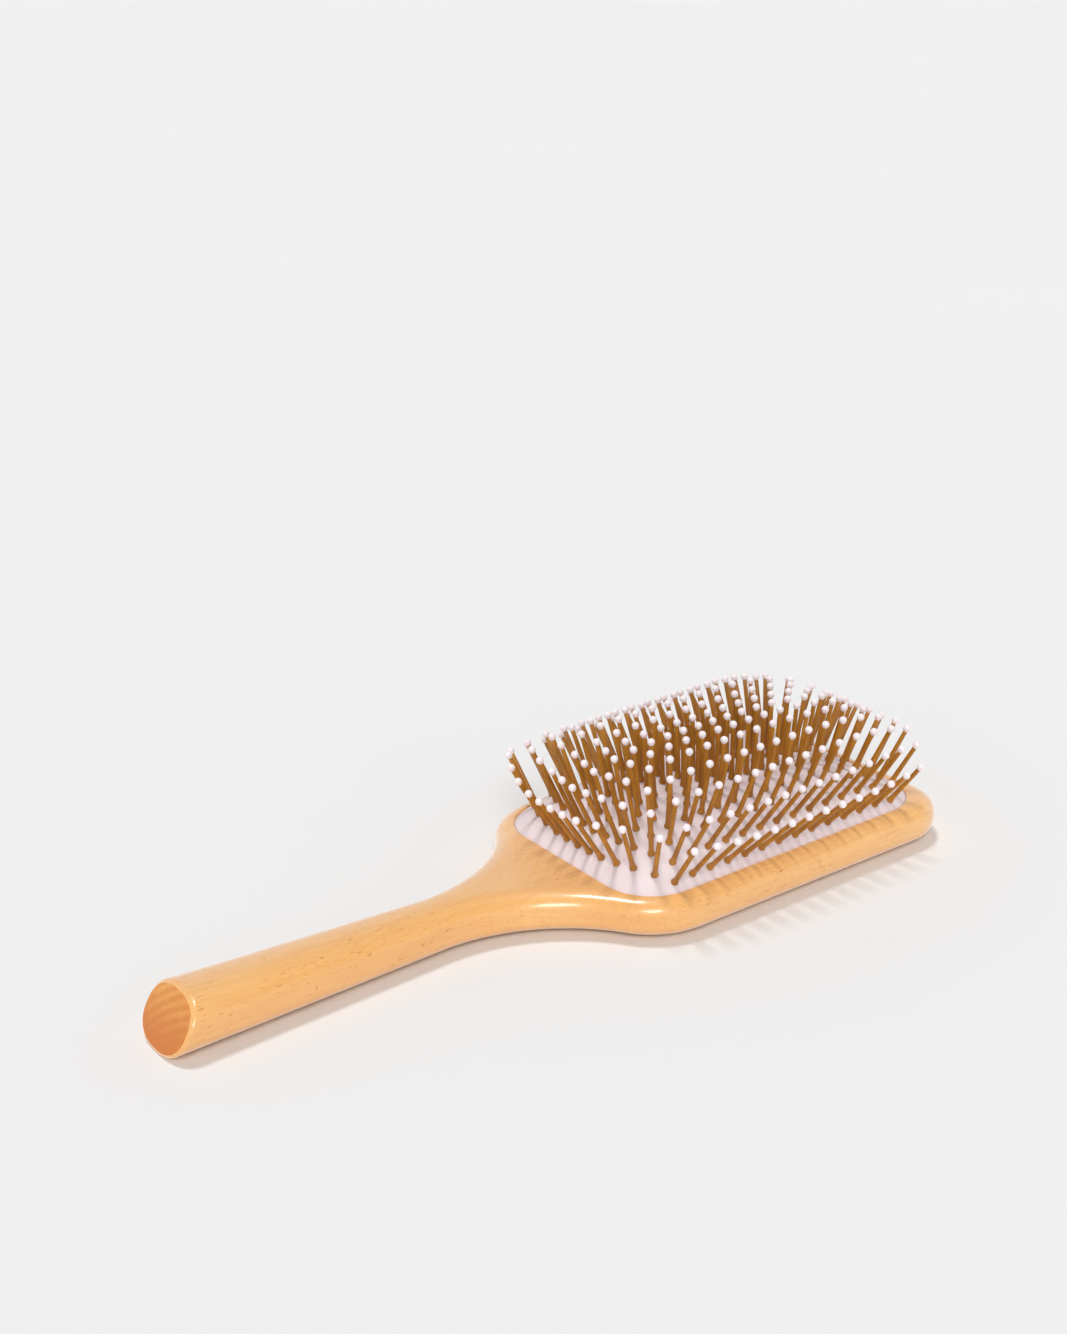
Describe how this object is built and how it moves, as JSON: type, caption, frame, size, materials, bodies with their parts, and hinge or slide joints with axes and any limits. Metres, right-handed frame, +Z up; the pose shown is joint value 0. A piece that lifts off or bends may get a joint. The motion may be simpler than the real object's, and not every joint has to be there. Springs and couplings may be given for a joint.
{
  "type": "cushioned paddle hairbrush",
  "caption": "Paddle hairbrush: one-piece wooden handle and head, crowned rubber pad held in a routed pocket, and leaning rows of ball-tipped pins.",
  "frame": {"origin": "centre of the flat back of the head, on the table the brush lies on", "axes": "+X from the handle to the far end of the head, +Y across the head, +Z up out of the bristles"},
  "size_m": [0.2416, 0.0906, 0.0408],
  "materials": {
    "beech_wood": "clear gloss lacquer over beech, with short brown flecks",
    "pad_rubber": "satin, pale pink",
    "pin_nylon": "satin, amber brown",
    "ball_nylon": "satin, pinkish white"
  },
  "bodies": {
    "brush_body": {"wood_body": "beech_wood"},
    "cushion": {"cushion": "pad_rubber"},
    "row_01": {"pins_row_01": "pin_nylon", "tips_row_01": "ball_nylon"},
    "row_02": {"pins_row_02": "pin_nylon", "tips_row_02": "ball_nylon"},
    "row_03": {"pins_row_03": "pin_nylon", "tips_row_03": "ball_nylon"},
    "row_04": {"pins_row_04": "pin_nylon", "tips_row_04": "ball_nylon"},
    "row_05": {"pins_row_05": "pin_nylon", "tips_row_05": "ball_nylon"},
    "row_06": {"pins_row_06": "pin_nylon", "tips_row_06": "ball_nylon"},
    "row_07": {"pins_row_07": "pin_nylon", "tips_row_07": "ball_nylon"},
    "row_08": {"pins_row_08": "pin_nylon", "tips_row_08": "ball_nylon"},
    "row_09": {"pins_row_09": "pin_nylon", "tips_row_09": "ball_nylon"},
    "row_10": {"pins_row_10": "pin_nylon", "tips_row_10": "ball_nylon"},
    "row_11": {"pins_row_11": "pin_nylon", "tips_row_11": "ball_nylon"},
    "row_12": {"pins_row_12": "pin_nylon", "tips_row_12": "ball_nylon"},
    "row_13": {"pins_row_13": "pin_nylon", "tips_row_13": "ball_nylon"}
  },
  "joints": [
    {"name": "cushion_press", "type": "slide", "parent": "brush_body", "child": "cushion", "axis": [0, 0, 1], "range_m": [-0.0025, 0], "stiffness_N_per_m": 3000, "deforming": ["cushion"]},
    {"name": "row_01_rock", "type": "hinge", "parent": "cushion", "child": "row_01", "pos_m": [0, -0.032, 0.0142], "axis": [1, 0, 0], "range_deg": [-7, 7], "stiffness_Nm_per_rad": 0.05},
    {"name": "row_02_rock", "type": "hinge", "parent": "cushion", "child": "row_02", "pos_m": [0, -0.0276, 0.0167], "axis": [1, 0, 0], "range_deg": [-7, 7], "stiffness_Nm_per_rad": 0.05},
    {"name": "row_03_rock", "type": "hinge", "parent": "cushion", "child": "row_03", "pos_m": [0, -0.0218, 0.0184], "axis": [1, 0, 0], "range_deg": [-7, 7], "stiffness_Nm_per_rad": 0.05},
    {"name": "row_04_rock", "type": "hinge", "parent": "cushion", "child": "row_04", "pos_m": [0, -0.0162, 0.0188], "axis": [1, 0, 0], "range_deg": [-7, 7], "stiffness_Nm_per_rad": 0.05},
    {"name": "row_05_rock", "type": "hinge", "parent": "cushion", "child": "row_05", "pos_m": [0, -0.0103, 0.0188], "axis": [1, 0, 0], "range_deg": [-7, 7], "stiffness_Nm_per_rad": 0.05},
    {"name": "row_06_rock", "type": "hinge", "parent": "cushion", "child": "row_06", "pos_m": [0, -0.0052, 0.0188], "axis": [1, 0, 0], "range_deg": [-7, 7], "stiffness_Nm_per_rad": 0.05},
    {"name": "row_07_rock", "type": "hinge", "parent": "cushion", "child": "row_07", "pos_m": [0, 0, 0.0188], "axis": [1, 0, 0], "range_deg": [-7, 7], "stiffness_Nm_per_rad": 0.05},
    {"name": "row_08_rock", "type": "hinge", "parent": "cushion", "child": "row_08", "pos_m": [0, 0.0052, 0.0188], "axis": [1, 0, 0], "range_deg": [-7, 7], "stiffness_Nm_per_rad": 0.05},
    {"name": "row_09_rock", "type": "hinge", "parent": "cushion", "child": "row_09", "pos_m": [0, 0.0103, 0.0188], "axis": [1, 0, 0], "range_deg": [-7, 7], "stiffness_Nm_per_rad": 0.05},
    {"name": "row_10_rock", "type": "hinge", "parent": "cushion", "child": "row_10", "pos_m": [0, 0.0162, 0.0188], "axis": [1, 0, 0], "range_deg": [-7, 7], "stiffness_Nm_per_rad": 0.05},
    {"name": "row_11_rock", "type": "hinge", "parent": "cushion", "child": "row_11", "pos_m": [0, 0.0218, 0.0184], "axis": [1, 0, 0], "range_deg": [-7, 7], "stiffness_Nm_per_rad": 0.05},
    {"name": "row_12_rock", "type": "hinge", "parent": "cushion", "child": "row_12", "pos_m": [0, 0.0276, 0.0167], "axis": [1, 0, 0], "range_deg": [-7, 7], "stiffness_Nm_per_rad": 0.05},
    {"name": "row_13_rock", "type": "hinge", "parent": "cushion", "child": "row_13", "pos_m": [0, 0.032, 0.0142], "axis": [1, 0, 0], "range_deg": [-7, 7], "stiffness_Nm_per_rad": 0.05}
  ]
}
